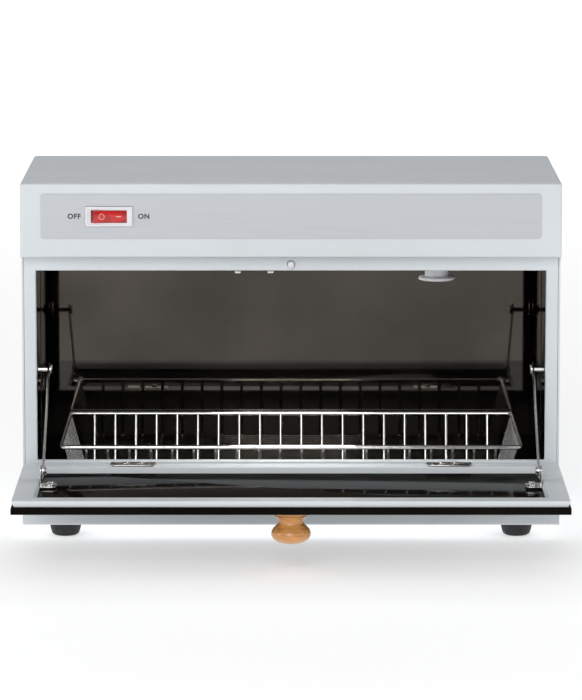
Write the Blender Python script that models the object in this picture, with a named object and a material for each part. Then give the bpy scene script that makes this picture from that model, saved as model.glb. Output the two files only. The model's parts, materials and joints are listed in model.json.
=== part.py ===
"""A countertop UV sterilizer cabinet for salon tools, with its drop-down door open.

Every size is in millimetres and becomes metres in at(). Positions are given from the middle of the
header's front face: x to the right, y into the cabinet, z up. The feet stand at FLOOR.
The door's pieces are modelled closed, under a pivot that then turns them open.
"""

from math import asin, atan2, cos, hypot, pi, radians, sin

import bmesh
import bpy
from mathutils import Matrix, Vector

# Driving dimensions
WIDTH = 420.0
TOP = 276.0
DEPTH = 200.0
FLOOR = -4.5
SHEET = 1.5
GAP = 0.3  # between pieces that touch

HALF = WIDTH / 2
BASE_BOTTOM = 7.0
BASE_LIP_TOP = 41.0
HEADER_BOTTOM = 218.0
RECESS = 14.0  # how far the door surround lies behind the header's face
REAR_REACH = 208.0  # the cord gland is the rearmost piece

OPENING_HALF = 199.0
OPENING_LOW = 57.0
OPENING_HIGH = 206.0
COLLAR_DEPTH = 8.0

# The chamber's polished lining
LINER = 1.2
CHAMBER_HALF = 205.3
CHAMBER_FLOOR = 15.2
CHAMBER_CEILING = 226.0
CHAMBER_BACK = 194.0

# The door, as it stands closed
HINGE_Y, HINGE_Z = 11.0, 53.0
DOOR_LOW, DOOR_HIGH = 53.5, 217.0
DOOR_OUTER, DOOR_INNER = 1.9, 12.4
GLASS = 5.0
BORDER = 16.0
HINGE_X = 123.5
HINGE_HALF = 17.5
KNUCKLE_RADIUS = 2.2
KNOB_Z = 196.0
DOOR_REACH = DOOR_HIGH - HINGE_Z - HINGE_Y  # how far the open door stands before the header

# The lid stays. Both pivots lie STAY_RADIUS from the hinge, so an arm turns half as far as the door.
STAY_RADIUS = 75.0
STAY_X = 190.0
STAY_THICK = 1.2
PIN_RADIUS = 2.0
SLOT_PLAY = 0.4
WALL_PIN = (16.0, (STAY_RADIUS**2 - 16.0**2) ** 0.5)  # from the hinge, y and z
DOOR_PIN = (8.5, (STAY_RADIUS**2 - 8.5**2) ** 0.5)  # the same with the door closed

SWITCH_X, SWITCH_Z = -141.0, 250.3
ROCKER_Y, ROCKER_TILT = 4.5, 8.0
PLUNGER_Z = 211.0
BRACKET_SCREWS = (-41.5, -16.0)
LAMP_Y, LAMP_Z, LAMP_RADIUS = 105.0, 214.0, 7.8
LAMP_HALF = 132.0
STARTER_X, STARTER_Y = 115.0, 60.0
FOOT_X, FOOT_YS = 177.5, (24.0, 176.0)
GLAND_X, GLAND_Z = 170.0, 245.0

BASKET_TOP = 66.0
BASKET_HALF = 183.0
BASKET_FRONT, BASKET_BACK = 25.0, 191.5
BASKET_TAPER = 14.0
BASKET_WALL = 2.0

# The frame's origin is under the middle of the whole object, door open
FRONT_Y = (DOOR_REACH - REAR_REACH) / 2


def at(x, y, z):
    """A point given from the header's face, in the part's frame and in metres."""
    return Vector((x, y + FRONT_Y, z - FLOOR)) / 1000


def clear_scene():
    for obj in list(bpy.data.objects):
        bpy.data.objects.remove(obj)


def material(name, colour, roughness, metallic=0.0, alpha=1.0):
    made = bpy.data.materials.new(name)
    made.use_nodes = True
    shader = made.node_tree.nodes["Principled BSDF"]
    shader.inputs["Base Color"].default_value = (*colour, 1)
    shader.inputs["Roughness"].default_value = roughness
    shader.inputs["Metallic"].default_value = metallic
    shader.inputs["Alpha"].default_value = alpha
    return made


# Shapes: each returns a bmesh in the part's frame, in metres.


def block(x, y, z):
    """A box, from the (low, high) pair of each axis."""
    mesh = bmesh.new()
    low, high = at(x[0], y[0], z[0]), at(x[1], y[1], z[1])
    bmesh.ops.create_cube(mesh, size=1)
    bmesh.ops.scale(mesh, vec=high - low, verts=mesh.verts)
    bmesh.ops.translate(mesh, vec=(low + high) / 2, verts=mesh.verts)
    return mesh


def prism(outline, place, depth):
    """An outline extruded: place(a, b, t) puts its points, from t = depth[0] to t = depth[1]."""
    mesh = bmesh.new()
    rings = [[mesh.verts.new(at(*place(a, b, t))) for a, b in outline] for t in depth]
    mesh.faces.new(rings[0])
    mesh.faces.new(reversed(rings[1]))
    count = len(outline)
    for i in range(count):
        j = (i + 1) % count
        mesh.faces.new((rings[0][j], rings[0][i], rings[1][i], rings[1][j]))
    bmesh.ops.recalc_face_normals(mesh, faces=mesh.faces)
    return mesh


def arc(centre, radius, start, end, steps):
    """Points on an arc, angles in degrees."""
    angles = [radians(start + (end - start) * i / steps) for i in range(steps + 1)]
    return [(centre[0] + radius * cos(a), centre[1] + radius * sin(a)) for a in angles]


def rounded_bar(start, end, half_width, steps=5):
    """The outline of a flat bar with round ends, along its first axis."""
    right = arc((end - half_width, 0), half_width, -90, 90, steps)
    left = arc((start + half_width, 0), half_width, 90, 270, steps)
    return right + left


def turned(profile, axis, centre, sides=16):
    """A turned solid. The profile's (radius, along) points run from the axis round to the axis again."""
    turn = {"X": (1, 2, 0), "Y": (2, 0, 1), "Z": (0, 1, 2)}[axis]
    mesh = bmesh.new()
    rings = []
    for radius, along in profile:
        ring = []
        for i in range(sides if radius else 1):
            angle = 2 * pi * (i + 0.5) / sides
            spot = [0.0, 0.0, 0.0]
            for place, value in zip(turn, (radius * cos(angle), radius * sin(angle), along)):
                spot[place] = value
            ring.append(mesh.verts.new(at(*(c + s for c, s in zip(centre, spot)))))
        rings.append(ring)
    if profile[0][0]:  # a bored piece closes on itself
        rings.append(rings[0])
    for ring, after in zip(rings, rings[1:]):
        for i in range(sides):
            j = (i + 1) % sides
            near = [ring[i % len(ring)], ring[j % len(ring)]]
            far = [after[j % len(after)], after[i % len(after)]]
            mesh.faces.new(list(dict.fromkeys(near + far)))
    bmesh.ops.recalc_face_normals(mesh, faces=mesh.faces)
    return mesh


def cylinder(axis, centre, radius, span, sides=12):
    return turned([(0, span[0]), (radius, span[0]), (radius, span[1]), (0, span[1])], axis, centre, sides)


# Objects


def thing(name, shape, origin):
    """An object whose origin is at a point of the part's frame, holding the shape where it was drawn."""
    data = bpy.data.meshes.new(name)
    bmesh.ops.translate(shape, vec=-origin, verts=shape.verts)
    shape.to_mesh(data)
    shape.free()
    obj = bpy.data.objects.new(name, data)
    obj.location = origin
    bpy.context.scene.collection.objects.link(obj)
    return obj


def helper(name, shape):
    obj = thing(name, shape, Vector((0, 0, 0)))
    obj.hide_render = True
    obj.display_type = "WIRE"
    return obj


def piece(name, finish, shape, add=(), cut=(), pivot=None, bevel=0.0, smooth=False):
    """One sub-part. Shapes in add are joined to it and those in cut removed; then it goes under its pivot."""
    obj = thing(name, shape, pivot.location if pivot else Vector((0, 0, 0)))
    obj.data.materials.append(finish)
    if bevel:
        rounding = obj.modifiers.new("round", "BEVEL")
        rounding.width = bevel / 1000
        rounding.segments = 2
    for operation, others in (("UNION", add), ("DIFFERENCE", cut)):
        for i, other in enumerate(others):
            joined = obj.modifiers.new(f"{operation.lower()}_{i}", "BOOLEAN")
            joined.operation = operation
            joined.object = helper(f"{name}_{operation.lower()}_{i}", other)
            if pivot:
                joined.object.location = joined.object.location - pivot.location
                joined.object.parent = pivot
    if pivot:
        obj.location = (0, 0, 0)
        obj.parent = pivot
    if smooth:
        obj.data.shade_smooth()
        obj.data.set_sharp_from_angle(angle=radians(35))
    return obj


def pivot_at(name, point, parent=None):
    pivot = bpy.data.objects.new(name, None)
    pivot.location = point
    pivot.empty_display_size = 0.02
    bpy.context.scene.collection.objects.link(pivot)
    if parent:
        pivot.parent = parent
    return pivot


# Casing


def casing(paint, polished, foil):
    rear = DEPTH - SHEET
    side = [
        (0, HEADER_BOTTOM),
        (0, TOP),
        (rear - GAP, TOP),
        (rear - GAP, BASE_BOTTOM + SHEET + GAP),
        (SHEET + GAP, BASE_BOTTOM + SHEET + GAP),
        (SHEET + GAP, BASE_LIP_TOP + GAP),
        (RECESS, BASE_LIP_TOP + GAP),
        (RECESS, HEADER_BOTTOM),
    ]

    def across(a, b, t):
        return (t, a, b)

    piece(
        "outer_cover",
        paint,
        prism(side, across, (-HALF, SHEET - HALF)),
        add=[
            prism(side, across, (HALF - SHEET, HALF)),
            block((-HALF, HALF), (0, rear - GAP), (TOP - SHEET, TOP)),
            block((-HALF, HALF), (0, SHEET), (HEADER_BOTTOM, TOP)),
            block((-HALF, HALF), (0, RECESS - GAP), (HEADER_BOTTOM, HEADER_BOTTOM + SHEET)),
        ],
        cut=[block((SWITCH_X - 16, SWITCH_X + 16), (-5, 5), (SWITCH_Z - 6.6, SWITCH_Z + 6.6))],
    )
    inside = HALF - SHEET - GAP
    flange = (BASE_BOTTOM, BASE_BOTTOM + 10)
    piece(
        "base_pan",
        paint,
        block((-HALF, HALF), (0, rear - GAP), (BASE_BOTTOM, BASE_BOTTOM + SHEET)),
        add=[
            block((-HALF, HALF), (0, SHEET), (BASE_BOTTOM, BASE_LIP_TOP)),
            block((-inside, inside), (0, RECESS - GAP), (BASE_LIP_TOP - SHEET, BASE_LIP_TOP)),
            block((-inside, SHEET - inside), (RECESS + 3, rear - 5), flange),
            block((inside - SHEET, inside), (RECESS + 3, rear - 5), flange),
        ],
    )
    piece(
        "rear_panel",
        paint,
        block((-HALF, HALF), (rear, DEPTH), (BASE_BOTTOM, TOP)),
        cut=[cylinder("Y", (GLAND_X, 0, GLAND_Z), 6.6, (rear - 5, DEPTH + 5))],
    )
    collar = RECESS + COLLAR_DEPTH
    opening_sides = (-OPENING_HALF, OPENING_HALF)
    piece(
        "door_surround",
        paint,
        block((-inside, inside), (RECESS, RECESS + SHEET), (CHAMBER_FLOOR + GAP, HEADER_BOTTOM - GAP)),
        add=[
            block(
                (-OPENING_HALF - SHEET, OPENING_HALF + SHEET),
                (RECESS, collar),
                (OPENING_LOW - SHEET, OPENING_HIGH + SHEET),
            )
        ],
        cut=[
            block(opening_sides, (RECESS - 5, collar + 5), (OPENING_LOW, OPENING_HIGH)),
            cylinder("Y", (0, 0, PLUNGER_Z), 3.2, (RECESS - 5, RECESS + 5)),
            *[
                cylinder("Z", (x, RECESS + 5.5, 0), 1.9, (OPENING_HIGH - 3, OPENING_HIGH + 4))
                for x in BRACKET_SCREWS
            ],
        ],
    )
    piece(
        "label_plate",
        foil,
        block((-194, 194), (-0.9, -GAP), (SWITCH_Z - 17.3, SWITCH_Z + 17.3)),
        cut=[block((SWITCH_X - 18.7, SWITCH_X + 18.7), (-5, 5), (SWITCH_Z - 8.1, SWITCH_Z + 8.1))],
    )
    front = RECESS + SHEET + GAP
    walls = (CHAMBER_FLOOR + GAP, CHAMBER_CEILING - GAP)
    back_half = CHAMBER_HALF - GAP
    piece("liner_back", polished, block((-back_half, back_half), (CHAMBER_BACK, CHAMBER_BACK + LINER), walls))
    for name, low in (("liner_left", -CHAMBER_HALF - LINER), ("liner_right", CHAMBER_HALF)):
        piece(name, polished, block((low, low + LINER), (front, CHAMBER_BACK + LINER), walls))
    plan = ((-CHAMBER_HALF, CHAMBER_HALF), (front, CHAMBER_BACK + LINER))
    piece("liner_floor", polished, block(*plan, (CHAMBER_FLOOR - LINER, CHAMBER_FLOOR)))
    piece(
        "liner_ceiling",
        polished,
        block(*plan, (CHAMBER_CEILING, CHAMBER_CEILING + LINER)),
        cut=[cylinder("Z", (STARTER_X, STARTER_Y, 0), 6, (CHAMBER_CEILING - 5, CHAMBER_CEILING + 5))],
    )


def feet_and_gland(rubber):
    under = BASE_BOTTOM - GAP
    foot = [(0, FLOOR), (8.5, FLOOR), (10.5, FLOOR + 0.8), (11.5, FLOOR + 3), (13, under), (0, under)]
    for end, y in zip(("front", "rear"), FOOT_YS):
        for side, x in (("left", -FOOT_X), ("right", FOOT_X)):
            piece(f"foot_{end}_{side}", rubber, turned(foot, "Z", (x, y, 0), 20), smooth=True)
    gland = [
        (3.2, DEPTH - 8),
        (6.2, DEPTH - 8),
        (6.2, DEPTH + GAP),
        (9, DEPTH + GAP),
        (9, DEPTH + 2.5),
        (6, REAR_REACH),
        (3.2, REAR_REACH),
    ]
    piece("cord_gland", rubber, turned(gland, "Y", (GLAND_X, 0, GLAND_Z)), smooth=True)


# Lamp and electrics


def lamp(glass, aluminium, white):
    spot = (0, LAMP_Y, LAMP_Z)
    piece("uv_lamp", glass, cylinder("X", spot, LAMP_RADIUS, (-LAMP_HALF, LAMP_HALF)), smooth=True)
    for name, sign in (("left", -1), ("right", 1)):
        span = sorted((sign * (LAMP_HALF + GAP), sign * (LAMP_HALF + 11)))
        cap = cylinder("X", spot, LAMP_RADIUS, span)
        piece(f"lamp_cap_{name}", aluminium, cap, smooth=True)
        span = sorted((sign * (LAMP_HALF + 11.3), sign * (LAMP_HALF + 20)))
        body = block(span, (LAMP_Y - 10, LAMP_Y + 10), (LAMP_Z - 10.5, CHAMBER_CEILING - GAP))
        piece(f"lamp_holder_{name}", white, body, bevel=1.0)
    holder = [(0, 213), (15, 213), (15, CHAMBER_CEILING - GAP), (0, CHAMBER_CEILING - GAP)]
    piece("starter_holder", white, turned(holder, "Z", (STARTER_X, STARTER_Y, 0)), smooth=True)
    starter = [
        (0, 194),
        (10.5, 194),
        (10.5, 193),
        (13.8, 193),
        (14.4, 193.8),
        (14.4, 195.6),
        (9.5, 196.4),
        (9.5, 212.7),
        (0, 212.7),
    ]
    piece("starter", white, turned(starter, "Z", (STARTER_X, STARTER_Y, 0)), smooth=True)


def electrics(white, red, steel, black, copper):
    shelf = CHAMBER_CEILING + LINER + GAP
    core = block((-70, 15), (92, 132), (shelf, shelf + 27))
    ends = block((-58, 3), (84, 140), (shelf + 3, shelf + 24))
    piece("ballast", steel, core, add=[ends])
    piece("terminal_block", white, block((60, 96), (108, 124), (shelf, shelf + 12)), bevel=1.0)

    bezel = block((SWITCH_X - 18.3, SWITCH_X + 18.3), (-2.4, -GAP), (SWITCH_Z - 7.7, SWITCH_Z + 7.7))
    body = block((SWITCH_X - 15.6, SWITCH_X + 15.6), (-1.5, 22), (SWITCH_Z - 6.2, SWITCH_Z + 6.2))
    pocket = block((SWITCH_X - 14.8, SWITCH_X + 14.8), (-5, 11), (SWITCH_Z - 5, SWITCH_Z + 5))
    piece("switch_housing", white, bezel, add=[body], cut=[pocket])
    pivot = pivot_at("rocker_pivot", at(SWITCH_X, ROCKER_Y, SWITCH_Z))
    wings = [(-13.2, -7.2), (0, -5.6), (13.2, -7.2), (12.6, -1), (-12.6, -1)]
    outline = prism(wings, lambda a, b, t: (SWITCH_X + a, ROCKER_Y + b, SWITCH_Z + t), (-4.6, 4.6))
    piece("switch_rocker", red, outline, pivot=pivot)
    pivot.rotation_euler.z = radians(ROCKER_TILT)

    plunger_pivot = pivot_at("plunger_guide", at(0, RECESS, PLUNGER_Z))
    tip = [(0, 8.2), (2.0, 8.2), (2.8, 9.2), (2.8, 33), (0, 33)]
    shape = turned(tip, "Y", (0, 0, PLUNGER_Z), 12)
    piece("interlock_plunger", white, shape, pivot=plunger_pivot, smooth=True)
    piece(
        "interlock_switch",
        black,
        block((-12, 12), (25, 46), (206.5, 221)),
        cut=[cylinder("Y", (0, 0, PLUNGER_Z), 3.2, (20, 40))],
    )
    flange = OPENING_HIGH + SHEET + GAP
    plate = block((-81, -12.3), (RECESS + SHEET + GAP, RECESS + 8), (flange, flange + 1))
    piece(
        "interlock_bracket",
        steel,
        plate,
        add=[
            block((-30, -12.3), (RECESS + 2, 40), (flange, flange + 1)),
            block((-13.3, -12.3), (25, 40), (flange, 221)),
        ],
        cut=[cylinder("Z", (x, RECESS + 5.5, 0), 1.9, (flange - 3, flange + 4)) for x in BRACKET_SCREWS],
    )
    for name, x in zip(("left", "right"), BRACKET_SCREWS):
        low = OPENING_HIGH - GAP
        screw = [(0, low - 2.6), (2.4, low - 2.6), (3, low), (1.5, low), (1.5, flange + 4), (0, flange + 4)]
        piece(f"bracket_screw_{name}", steel, turned(screw, "Z", (x, RECESS + 5.5, 0), 10), smooth=True)

    wire("wire_switch", black, [(SWITCH_X, 23, 250), (-138, 45, 244), (-112, 80, 236), (-72, 108, 242)])
    wire("wire_mains", black, [(GLAND_X, 191, GLAND_Z), (165, 165, 240), (135, 130, 234), (97, 116, 234)])
    wire("wire_lamp", copper, [(16, 112, 240), (28, 112, 236), (44, 114, 234), (59, 116, 234)])


def wire(name, finish, route):
    """A lead of 3 mm on a smooth curve through the route's points."""
    points = []
    padded = [route[0], *route, route[-1]]
    for a, b, c, d in zip(padded, padded[1:], padded[2:], padded[3:]):
        for i in range(5):
            t = i / 5
            weights = (
                (-t + 2 * t**2 - t**3) / 2,
                (2 - 5 * t**2 + 3 * t**3) / 2,
                (t + 4 * t**2 - 3 * t**3) / 2,
                (t**3 - t**2) / 2,
            )
            points.append([sum(w * p[k] for w, p in zip(weights, (a, b, c, d))) for k in range(3)])
    points.append(route[-1])
    curve = bpy.data.curves.new(name, "CURVE")
    curve.dimensions = "3D"
    line = curve.splines.new("POLY")
    line.points.add(len(points) - 1)
    for spot, point in zip(line.points, points):
        spot.co = (*at(*point), 1)
    curve.bevel_depth = 0.0015
    curve.bevel_resolution = 1
    curve.use_fill_caps = True
    curve.materials.append(finish)
    bpy.context.scene.collection.objects.link(bpy.data.objects.new(name, curve))


# Door


def door(paint, glass, wood, steel):
    pivot = pivot_at("door_pivot", at(0, HINGE_Y, HINGE_Z))
    glass_inner = DOOR_OUTER + GLASS
    heights = bracket_screw_heights()
    holes = [cylinder("Y", (x, 0, z), 1.8, (-5, 20), 10) for x in (-185, 185) for z in heights]
    piece(
        "door_glass",
        glass,
        block((-HALF, HALF), (DOOR_OUTER, glass_inner), (DOOR_LOW, DOOR_HIGH)),
        cut=[*holes, cylinder("Y", (0, 0, KNOB_Z), 2, (-5, 20), 10)],
        pivot=pivot,
    )
    window = block((BORDER - HALF, HALF - BORDER), (0, 20), (DOOR_LOW + BORDER, DOOR_HIGH - BORDER))
    notches = [
        block((x - HINGE_HALF - 1.5, x + HINGE_HALF + 1.5), (7, 20), (DOOR_LOW - 5, HINGE_Z + 4.5))
        for x in (-HINGE_X, HINGE_X)
    ]
    piece(
        "door_frame",
        paint,
        block((0.5 - HALF, HALF - 0.5), (glass_inner + GAP, DOOR_INNER), (DOOR_LOW + 0.5, DOOR_HIGH - 0.5)),
        cut=[window, *notches],
        pivot=pivot,
    )
    base = DOOR_OUTER - GAP
    knob = [
        (0, base - 8),
        (2, base - 8),
        (2, base),
        (12.5, base),
        (12.5, base - 3.5),
        (10.4, base - 5.5),
        (9.3, base - 9),
        (12.2, base - 12),
        (15.0, base - 15.5),
        (15.3, base - 18),
        (13.6, base - 22),
        (8.5, base - 24.5),
        (0, base - 25),
    ]
    piece("door_knob", wood, turned(knob, "Y", (0, 0, KNOB_Z), 20), pivot=pivot, smooth=True)
    head = glass_inner + GAP
    screw = [(0, base - 7.5), (1.6, base - 7.5), (1.6, head), (3.6, head), (3, head + 2.2), (0, head + 2.4)]
    piece("knob_screw", steel, turned(screw, "Y", (0, 0, KNOB_Z), 10), pivot=pivot, smooth=True)
    for side, x in (("left", -HINGE_X), ("right", HINGE_X)):
        hinge(side, x, steel, pivot)
    for side, sign in (("left", -1), ("right", 1)):
        stay(side, sign, steel, pivot)
    pivot.rotation_euler.x = radians(90)


def hinge(side, x, steel, pivot):
    """A butt hinge: the door leaf carries the middle knuckle and the cabinet leaf the outer two."""
    spot = (x, HINGE_Y, HINGE_Z)

    def bore():
        return cylinder("X", spot, 1.3, (-30, 30), 10)

    screws = (-5.5, 5.5)
    leaf_front = DOOR_INNER + 0.25
    thickness = (leaf_front, leaf_front + 0.8)
    piece(
        f"hinge_leaf_door_{side}",
        steel,
        cylinder("X", spot, KNUCKLE_RADIUS, (-6, 6)),
        add=[
            block((x - 6, x + 6), thickness, (HINGE_Z - 0.5, HINGE_Z + 5)),
            block((x - HINGE_HALF, x + HINGE_HALF), thickness, (HINGE_Z + 3, HINGE_Z + 16)),
        ],
        cut=[bore()],
        pivot=pivot,
    )
    for number, dx in enumerate(screws, 1):
        face = leaf_front + 0.8 + GAP
        head = [(0, face), (2.6, face), (2.2, face + 1.1), (0, face + 1.4)]
        shape = turned(head, "Y", (x + dx, 0, HINGE_Z + 10), 10)
        piece(f"hinge_screw_{side}_{number}", steel, shape, pivot=pivot, smooth=True)
    leaf_back = RECESS - GAP
    leaf = (leaf_back - 0.8, leaf_back)
    inner, outer = 6.4, HINGE_HALF
    middles = [x + s * (inner + outer) / 2 for s in (-1, 1)]
    tongues = [block((middle - 5.5, middle + 5.5), leaf, (48, 54)) for middle in middles]
    knuckles = [cylinder("X", spot, KNUCKLE_RADIUS, sorted((s * inner, s * outer))) for s in (-1, 1)]
    piece(
        f"hinge_leaf_cabinet_{side}",
        steel,
        block((x - outer, x + outer), leaf, (42, 50)),
        add=[*tongues, *knuckles],
        cut=[bore()],
    )
    piece(f"hinge_pin_{side}", steel, cylinder("X", spot, 1.0, (-18.5, 18.5), 10), smooth=True)


def bracket_screw_heights():
    """Where the stay brackets' screws stand on the closed door."""
    middle = HINGE_Z + DOOR_PIN[1]
    return (middle - 5, middle + 5)


def stay(side, sign, steel, door_pivot):
    """A slotted stay: its arm turns on the door's bracket and slides over a pin on the chamber's wall."""
    wall = [
        (0, CHAMBER_HALF - GAP),
        (9, CHAMBER_HALF - GAP),
        (9, CHAMBER_HALF - 1.8),
        (PIN_RADIUS, CHAMBER_HALF - 1.8),
        (PIN_RADIUS, STAY_X - 1.2),
        (4.2, STAY_X - 1.2),
        (4.2, STAY_X - 2.7),
        (0, STAY_X - 2.7),
    ]
    wall = [(radius, sign * along) for radius, along in wall]
    spot = (0, HINGE_Y + WALL_PIN[0], HINGE_Z + WALL_PIN[1])
    piece(f"stay_wall_pin_{side}", steel, turned(wall, "X", spot, 12), smooth=True)

    y, z = HINGE_Y + DOOR_PIN[0], HINGE_Z + DOOR_PIN[1]
    seat = DOOR_OUTER + GLASS + GAP
    ear = sorted((sign * (STAY_X + 1.2), sign * (STAY_X + 2.4)))
    foot = sorted((sign * 180, sign * (STAY_X + 2.4)))
    rivet = [
        (0, STAY_X + 1.5),
        (1.6, STAY_X + 1.5),
        (1.6, STAY_X - 1.2),
        (3.2, STAY_X - 1.2),
        (2.6, STAY_X - 2.4),
        (0, STAY_X - 2.4),
    ]
    rivet = [(radius, sign * along) for radius, along in rivet]
    piece(
        f"stay_bracket_{side}",
        steel,
        block(foot, (seat, seat + 1.5), (z - 9, z + 9)),
        add=[block(ear, (seat, y + 4), (z - 5, z + 5)), turned(rivet, "X", (0, y, z), 12)],
        cut=[cylinder("Y", (sign * 185, 0, h), 1.8, (-5, 20), 10) for h in bracket_screw_heights()],
        pivot=door_pivot,
    )
    for number, h in enumerate(bracket_screw_heights(), 1):
        head = seat + 1.5 + GAP
        tip = DOOR_OUTER + 0.6
        screw = [(0, tip), (1.4, tip), (1.4, head), (2.6, head), (2, head + 1.4), (0, head + 1.6)]
        shape = turned(screw, "Y", (sign * 185, 0, h), 10)
        piece(f"stay_screw_{side}_{number}", steel, shape, pivot=door_pivot, smooth=True)

    # With the door closed, the arm points from its pivot straight at the wall pin
    near = hypot(WALL_PIN[0] - DOOR_PIN[0], WALL_PIN[1] - DOOR_PIN[1])
    swing = pi / 2 + 2 * asin(near / 2 / STAY_RADIUS)
    far = 2 * STAY_RADIUS * sin(swing / 2)
    slope = atan2(WALL_PIN[1] - DOOR_PIN[1], WALL_PIN[0] - DOOR_PIN[0])
    play = PIN_RADIUS + SLOT_PLAY

    def along_arm(a, b, t):
        return (t, y + a * cos(slope) - b * sin(slope), z + a * sin(slope) + b * cos(slope))

    faces = (sign * STAY_X - STAY_THICK / 2, sign * STAY_X + STAY_THICK / 2)
    wider = (sign * STAY_X - 3, sign * STAY_X + 3)
    arm_pivot = pivot_at(f"stay_pivot_{side}", at(0, y, z))
    piece(
        f"stay_arm_{side}",
        steel,
        prism(rounded_bar(-5.2, far + 6, 5.2), along_arm, faces),
        cut=[
            prism(rounded_bar(near - play, far + play, play), along_arm, wider),
            prism(rounded_bar(-1.8, 1.8, 1.8, 4)[:-1], along_arm, wider),
        ],
        pivot=arm_pivot,
    )
    arm_pivot.parent = door_pivot
    arm_pivot.location = arm_pivot.location - door_pivot.location
    arm_pivot.rotation_euler.x = radians(-45)


# Basket


def basket(steel):
    """The wire basket's outer form: an open tray whose walls lean outwards."""
    middle = (BASKET_FRONT + BASKET_BACK) / 2
    pivot = pivot_at("basket_seat", at(0, middle, CHAMBER_FLOOR))

    def tray(shrink, low, high):
        mesh = block(
            (shrink - BASKET_HALF, BASKET_HALF - shrink),
            (BASKET_FRONT + shrink, BASKET_BACK - shrink),
            (low, high),
        )
        half = BASKET_HALF - shrink
        depth = (BASKET_BACK - BASKET_FRONT) / 2 - shrink
        centre = at(0, middle, (low + high) / 2)
        for corner in mesh.verts:
            if corner.co.z < centre.z:
                corner.co.x *= (half - BASKET_TAPER) / half
                corner.co.y = centre.y + (corner.co.y - centre.y) * (depth - BASKET_TAPER) / depth
        return mesh

    low = CHAMBER_FLOOR + GAP
    piece(
        "basket",
        steel,
        tray(0, low, BASKET_TOP),
        cut=[tray(BASKET_WALL, low + BASKET_WALL, BASKET_TOP + 0.5)],
        pivot=pivot,
    )


def main():
    clear_scene()
    paint = material("white paint", (0.78, 0.8, 0.82), 0.35)
    polished = material("polished steel", (0.62, 0.6, 0.57), 0.06, 1.0)
    chrome = material("chromed steel", (0.75, 0.74, 0.72), 0.15, 1.0)
    foil = material("silver foil", (0.62, 0.63, 0.66), 0.45, 0.3)
    rubber = material("black rubber", (0.02, 0.02, 0.02), 0.7)
    white = material("white plastic", (0.85, 0.85, 0.85), 0.4)
    black = material("black plastic", (0.03, 0.03, 0.03), 0.5)
    red = material("red plastic", (0.6, 0.02, 0.02), 0.25)
    clear = material("quartz glass", (0.8, 0.85, 0.95), 0.05, 0.0, 0.5)
    tinted = material("tinted glass", (0.02, 0.02, 0.02), 0.05, 0.0, 0.9)
    wood = material("turned wood", (0.62, 0.32, 0.12), 0.35)
    aluminium = material("aluminium", (0.8, 0.8, 0.8), 0.3, 1.0)
    blue = material("blue insulation", (0.05, 0.1, 0.4), 0.5)
    casing(paint, polished, foil)
    feet_and_gland(rubber)
    lamp(clear, aluminium, white)
    electrics(white, red, chrome, black, blue)
    door(paint, tinted, wood, chrome)
    basket(chrome)


main()
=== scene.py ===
# %% [markdown]
# # A salon sterilizer cabinet
# This file dresses a small countertop cabinet: a folded white case, a polished chamber with a wire basket in
# it, a lamp above, and a tinted glass door that hangs open on two slotted stays.
# The structure comes from a CAD model, which fixes every size and every joint. What we add here is what CAD
# leaves out: rounded folds, turned wood, bent wire, screw heads, and what each surface is made of.
# We could have sculpted the whole cabinet in one mesh. We keep one object to each real piece instead, because
# the door, the stays, the switch and the basket all move.

# %% Load the frame
import json
from math import atan2, radians

import bmesh
import bpy
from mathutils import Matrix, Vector


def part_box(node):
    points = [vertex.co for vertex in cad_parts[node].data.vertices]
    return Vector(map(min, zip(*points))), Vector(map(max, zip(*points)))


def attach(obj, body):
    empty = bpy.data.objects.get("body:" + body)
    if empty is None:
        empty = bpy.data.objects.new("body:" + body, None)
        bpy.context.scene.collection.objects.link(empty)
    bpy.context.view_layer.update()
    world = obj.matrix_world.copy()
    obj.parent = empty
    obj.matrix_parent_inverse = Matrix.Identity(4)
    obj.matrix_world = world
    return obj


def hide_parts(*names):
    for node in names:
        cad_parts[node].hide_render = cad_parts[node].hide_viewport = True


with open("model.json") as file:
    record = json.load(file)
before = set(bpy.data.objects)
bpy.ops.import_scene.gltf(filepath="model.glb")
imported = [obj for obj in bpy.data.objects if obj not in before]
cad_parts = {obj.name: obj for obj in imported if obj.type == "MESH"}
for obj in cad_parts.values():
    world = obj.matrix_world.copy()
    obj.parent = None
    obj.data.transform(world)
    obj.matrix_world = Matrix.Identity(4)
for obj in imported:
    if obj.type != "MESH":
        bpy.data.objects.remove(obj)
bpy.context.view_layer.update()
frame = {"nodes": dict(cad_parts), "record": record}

MM = 0.001
bodies = frame["record"]["behaviour"]["bodies"]
body_of = {node: body for body, members in bodies.items() for node in members}
print(f"the frame has {len(frame['nodes'])} nodes on {len(bodies)} bodies")

# %% [markdown]
# ## The stage
# A product like this is best seen from a few metres away through a long lens, so that its edges stay nearly
# parallel, and from a little above, so that the top and the open door both show.
# A wide lens close by would be the other way, but it would make the door look far too large.
# The floor is one pale plane that reaches past the view, and the lights are large, because a large light
# gives the white paint its slow shading and the polished metal its long soft highlights. One small fill under
# the chamber's ceiling stands for the light that its walls pass from one to the other.

# %% Camera
CAMERA_DISTANCE = 3500 * MM  # in front of the header
CAMERA_HEIGHT = 679.5 * MM
CAMERA_TILT = 8.6  # degrees below level
CAMERA_LENS, SENSOR_WIDTH = 234, 36  # in millimetres, as Blender counts them
FAR_CLIP = 100  # metres, past the far edge of the floor
header_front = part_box("outer_cover")[0].y

bpy.ops.object.select_all(action="DESELECT")
bpy.ops.object.camera_add(
    location=(0, header_front - CAMERA_DISTANCE, CAMERA_HEIGHT),
    rotation=(radians(90 - CAMERA_TILT), 0, 0),
)
camera = bpy.context.object
camera.name = "camera"
camera.data.sensor_width = SENSOR_WIDTH
camera.data.lens = CAMERA_LENS
camera.data.clip_end = FAR_CLIP
bpy.context.scene.camera = camera
print(f"camera {CAMERA_DISTANCE} m in front, lens {CAMERA_LENS} mm")

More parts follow.
